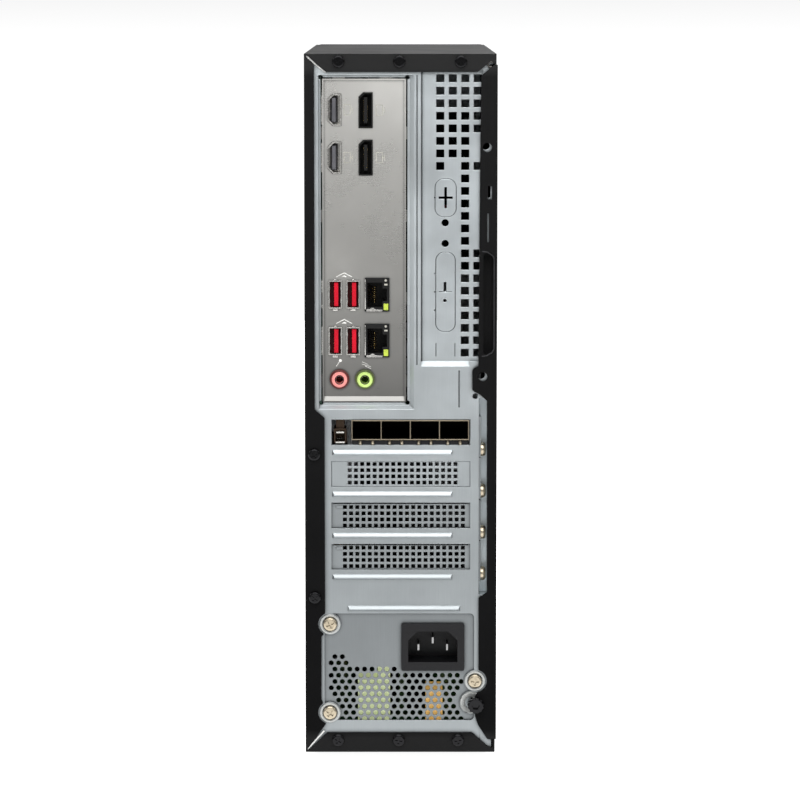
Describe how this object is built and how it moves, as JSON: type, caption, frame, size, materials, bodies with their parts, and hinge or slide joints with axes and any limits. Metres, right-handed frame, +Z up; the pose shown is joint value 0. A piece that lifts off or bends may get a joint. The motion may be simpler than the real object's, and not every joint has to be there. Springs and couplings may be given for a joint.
{
  "type": "slim desktop computer tower with a four-cage network card",
  "caption": "Slim upright desktop computer seen from its connector side, with a black wrap casing, plated rear panel, low-profile network card, power supply and sliding side cover.",
  "frame": {"origin": "centre of the bounding box at the plane of the rubber feet", "axes": "+Z up; +Y out of the connector side (rear); the front bezel faces -Y; the removable cover is the -X wall"},
  "size_m": [0.093, 0.301, 0.343],
  "materials": {
    "shell_black": "fine satin powder coat",
    "black_screw": "black oxide, semi-gloss",
    "rubber_black": "matt rubber",
    "zinc_steel": "zinc-plated sheet, soft sheen",
    "plated_screw": "bright zinc plate",
    "shield_steel": "fine brushed sheet",
    "connector_metal": "bright nickel plate",
    "connector_dark": "dark moulded shell",
    "connector_black": "moulded, low sheen",
    "connector_pale": "natural nylon",
    "usb_red": "glossy moulded",
    "indicator_green": "clear tinted lens",
    "audio_pink": "moulded, semi-gloss",
    "audio_lime": "moulded, semi-gloss",
    "circuit_board": "solder mask",
    "memory_board": "solder mask with black chips",
    "card_board": "solder mask",
    "fin_aluminium": "extruded, satin",
    "cage_metal": "nickel-plated sheet",
    "inlet_black": "moulded, low sheen",
    "tape_yellow": "polyester tape",
    "bezel_black": "fine texture",
    "button_black": "polished",
    "drive_metal": "cast and machined",
    "cable_black": "braided sleeve",
    "cable_red": "soft jacket",
    "fan_black": "moulded"
  },
  "bodies": {
    "chassis": {"outer_shell": "shell_black", "shell_screws": "black_screw", "rubber_feet": "rubber_black", "chassis_rear_panel": "zinc_steel", "chassis_floor": "zinc_steel", "chassis_roof": "zinc_steel", "motherboard_tray": "zinc_steel", "chassis_front_wall": "zinc_steel", "slot_retainer": "zinc_steel", "slot_screws": "plated_screw", "psu_screws": "plated_screw", "io_shield": "shield_steel", "io_shield_tabs": "shield_steel", "hdmi_shells": "connector_metal", "displayport_shells": "connector_dark", "video_port_inserts": "connector_black", "usb_shells": "connector_metal", "usb_tongues": "usb_red", "lan_jacks": "connector_black", "lan_indicators": "indicator_green", "microphone_jack": "audio_pink", "line_out_jack": "audio_lime", "mainboard": "circuit_board", "cpu_socket": "connector_metal", "heat_sink": "fin_aluminium", "memory_sockets": "connector_black", "memory_modules": "memory_board", "expansion_connectors": "connector_black", "chipset_heat_sink": "fin_aluminium", "coin_cell": "connector_metal", "solid_state_drive": "memory_board", "power_connector": "connector_pale", "network_card_board": "card_board", "network_card_bracket": "zinc_steel", "network_card_cage": "cage_metal", "network_card_service_port": "cage_metal", "network_card_heat_sink": "fin_aluminium", "slot_cover_2": "zinc_steel", "slot_cover_3": "zinc_steel", "slot_cover_4": "zinc_steel", "psu_case": "zinc_steel", "psu_grille": "zinc_steel", "psu_inlet": "inlet_black", "psu_inlet_pins": "connector_metal", "psu_board": "card_board", "psu_transformers": "tape_yellow", "front_bezel": "bezel_black", "front_port_module": "connector_black", "hard_drive": "drive_metal", "drive_cage": "zinc_steel", "power_cable": "cable_black", "drive_cable": "cable_red", "cpu_fan_frame": "fan_black", "psu_fan_frame": "fan_black", "front_fan_frame": "fan_black"},
    "side_cover": {"side_cover": "shell_black", "side_cover_flange": "shell_black", "finger_pull_cup": "shell_black"},
    "thumbscrew": {"thumbscrew": "black_screw"},
    "power_button": {"power_button": "button_black"},
    "cpu_fan_rotor": {"cpu_fan_rotor": "fan_black"},
    "psu_fan_rotor": {"psu_fan_rotor": "fan_black"},
    "front_fan_rotor": {"front_fan_rotor": "fan_black"}
  },
  "joints": [
    {"name": "side_cover_slide", "type": "slide", "parent": "chassis", "child": "side_cover", "axis": [0, 1, 0], "range_m": [0, 0.3]},
    {"name": "thumbscrew_turn", "type": "hinge", "parent": "side_cover", "child": "thumbscrew", "pos_m": [-0.0365, 0.146, 0.0266], "axis": [0, 1, 0], "continuous": true},
    {"name": "power_button_press", "type": "slide", "parent": "chassis", "child": "power_button", "axis": [0, 1, 0], "range_m": [0, 0.0015], "stiffness_N_per_m": 900, "springref_m": -0.0006},
    {"name": "cpu_fan_spin", "type": "hinge", "parent": "chassis", "child": "cpu_fan_rotor", "pos_m": [0, 0.057, 0.262], "axis": [1, 0, 0], "continuous": true},
    {"name": "psu_fan_spin", "type": "hinge", "parent": "chassis", "child": "psu_fan_rotor", "pos_m": [0.0015, -0.02, 0.04], "axis": [0, 1, 0], "continuous": true},
    {"name": "front_fan_spin", "type": "hinge", "parent": "chassis", "child": "front_fan_rotor", "pos_m": [0, -0.115, 0.266], "axis": [0, 1, 0], "continuous": true}
  ]
}
